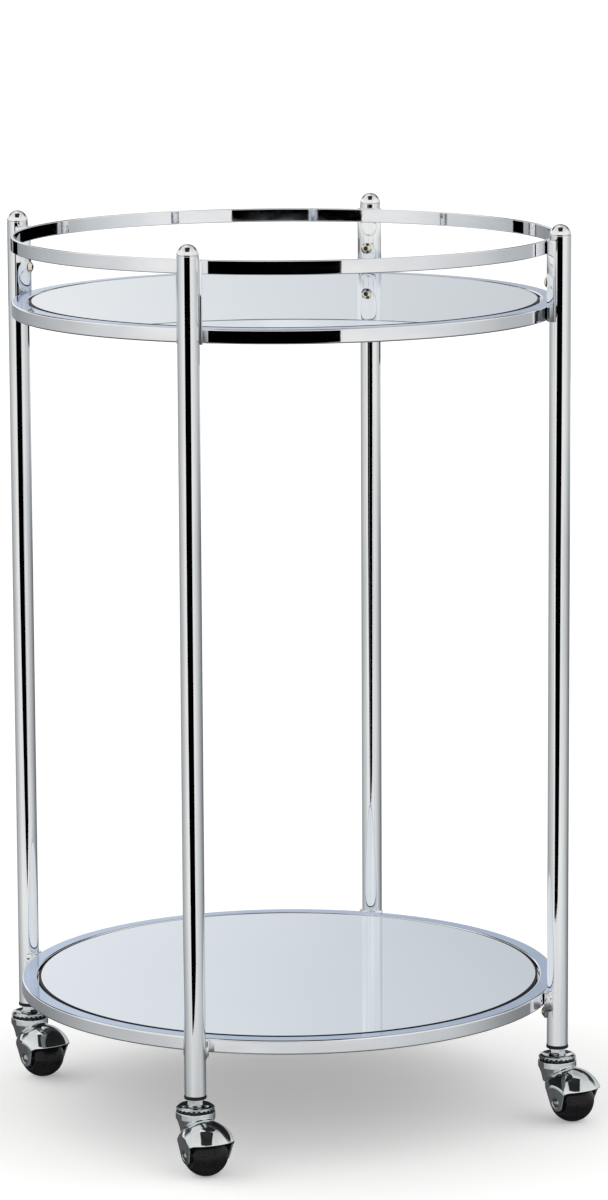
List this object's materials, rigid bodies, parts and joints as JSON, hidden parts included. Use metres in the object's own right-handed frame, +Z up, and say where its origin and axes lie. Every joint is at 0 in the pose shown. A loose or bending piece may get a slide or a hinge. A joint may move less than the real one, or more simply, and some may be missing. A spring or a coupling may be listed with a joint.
{
  "type": "bar cart",
  "caption": "Round chrome tube bar cart with an upper railed mirror tray, a lower mirror shelf, and hooded swivel ball casters under upright posts.",
  "frame": {"origin": "on the floor under the centre of the rings", "axes": "+Z up; the posts stand on the diagonals between the X and Y axes, front is -Y and left is -X"},
  "size_m": [0.4896, 0.4896, 0.811],
  "materials": {
    "chrome_tube": "bright chrome plated steel tube",
    "chrome_ring": "bright chrome plated steel band and square tube",
    "chrome_screw": "chrome plated screw",
    "chrome_caster": "chrome plated zinc casting and pressings",
    "mirror_glass": "silvered glass with a bevelled edge",
    "black_plastic": "black plastic insert",
    "black_wheel": "polished black nylon",
    "clear_pad": "clear soft pad",
    "inner_steel": "plain steel"
  },
  "bodies": {
    "cart_frame": {"rail_ring": "chrome_ring", "upper_shelf_ring": "chrome_ring", "lower_shelf_ring": "chrome_ring", "upper_mirror": "mirror_glass", "lower_mirror": "mirror_glass", "upper_glass_pads": "clear_pad", "lower_glass_pads": "clear_pad", "upper_screws": "chrome_screw", "lower_screws": "chrome_screw", "upper_threaded_inserts": "inner_steel", "lower_threaded_inserts": "inner_steel", "post_front_left": "chrome_tube", "post_cap_front_left": "chrome_tube", "post_insert_front_left": "black_plastic", "upper_saddle_front_left": "chrome_tube", "lower_saddle_front_left": "chrome_tube", "caster_stem_front_left": "chrome_caster", "dust_cap_front_left": "chrome_caster", "post_front_right": "chrome_tube", "post_cap_front_right": "chrome_tube", "post_insert_front_right": "black_plastic", "upper_saddle_front_right": "chrome_tube", "lower_saddle_front_right": "chrome_tube", "caster_stem_front_right": "chrome_caster", "dust_cap_front_right": "chrome_caster", "post_back_right": "chrome_tube", "post_cap_back_right": "chrome_tube", "post_insert_back_right": "black_plastic", "upper_saddle_back_right": "chrome_tube", "lower_saddle_back_right": "chrome_tube", "caster_stem_back_right": "chrome_caster", "dust_cap_back_right": "chrome_caster", "post_back_left": "chrome_tube", "post_cap_back_left": "chrome_tube", "post_insert_back_left": "black_plastic", "upper_saddle_back_left": "chrome_tube", "lower_saddle_back_left": "chrome_tube", "caster_stem_back_left": "chrome_caster", "dust_cap_back_left": "chrome_caster"},
    "swivel_front_left": {"caster_hood_front_left": "chrome_caster", "caster_axle_front_left": "chrome_caster", "bearing_balls_front_left": "inner_steel"},
    "roller_front_left": {"caster_wheel_front_left": "black_wheel"},
    "swivel_front_right": {"caster_hood_front_right": "chrome_caster", "caster_axle_front_right": "chrome_caster", "bearing_balls_front_right": "inner_steel"},
    "roller_front_right": {"caster_wheel_front_right": "black_wheel"},
    "swivel_back_right": {"caster_hood_back_right": "chrome_caster", "caster_axle_back_right": "chrome_caster", "bearing_balls_back_right": "inner_steel"},
    "roller_back_right": {"caster_wheel_back_right": "black_wheel"},
    "swivel_back_left": {"caster_hood_back_left": "chrome_caster", "caster_axle_back_left": "chrome_caster", "bearing_balls_back_left": "inner_steel"},
    "roller_back_left": {"caster_wheel_back_left": "black_wheel"}
  },
  "joints": [
    {"name": "caster_swivel_front_left", "type": "hinge", "parent": "cart_frame", "child": "swivel_front_left", "pos_m": [-0.18137, -0.18137, 0.05], "axis": [0, 0, 1], "continuous": true},
    {"name": "wheel_spin_front_left", "type": "hinge", "parent": "swivel_front_left", "child": "roller_front_left", "pos_m": [-0.18137, -0.20137, 0.02], "axis": [1, 0, 0], "continuous": true},
    {"name": "caster_swivel_front_right", "type": "hinge", "parent": "cart_frame", "child": "swivel_front_right", "pos_m": [0.18137, -0.18137, 0.05], "axis": [0, 0, 1], "continuous": true},
    {"name": "wheel_spin_front_right", "type": "hinge", "parent": "swivel_front_right", "child": "roller_front_right", "pos_m": [0.18587, -0.20086, 0.02], "axis": [0.9744, 0.225, 0], "continuous": true},
    {"name": "caster_swivel_back_right", "type": "hinge", "parent": "cart_frame", "child": "swivel_back_right", "pos_m": [0.18137, 0.18137, 0.05], "axis": [0, 0, 1], "continuous": true},
    {"name": "wheel_spin_back_right", "type": "hinge", "parent": "swivel_back_right", "child": "roller_back_right", "pos_m": [0.18381, 0.16152, 0.02], "axis": [0.9925, 0.1219, 0], "continuous": true},
    {"name": "caster_swivel_back_left", "type": "hinge", "parent": "cart_frame", "child": "swivel_back_left", "pos_m": [-0.18137, 0.18137, 0.05], "axis": [0, 0, 1], "continuous": true},
    {"name": "wheel_spin_back_left", "type": "hinge", "parent": "swivel_back_left", "child": "roller_back_left", "pos_m": [-0.17722, 0.16181, 0.02], "axis": [0.9781, 0.2079, 0], "continuous": true}
  ]
}
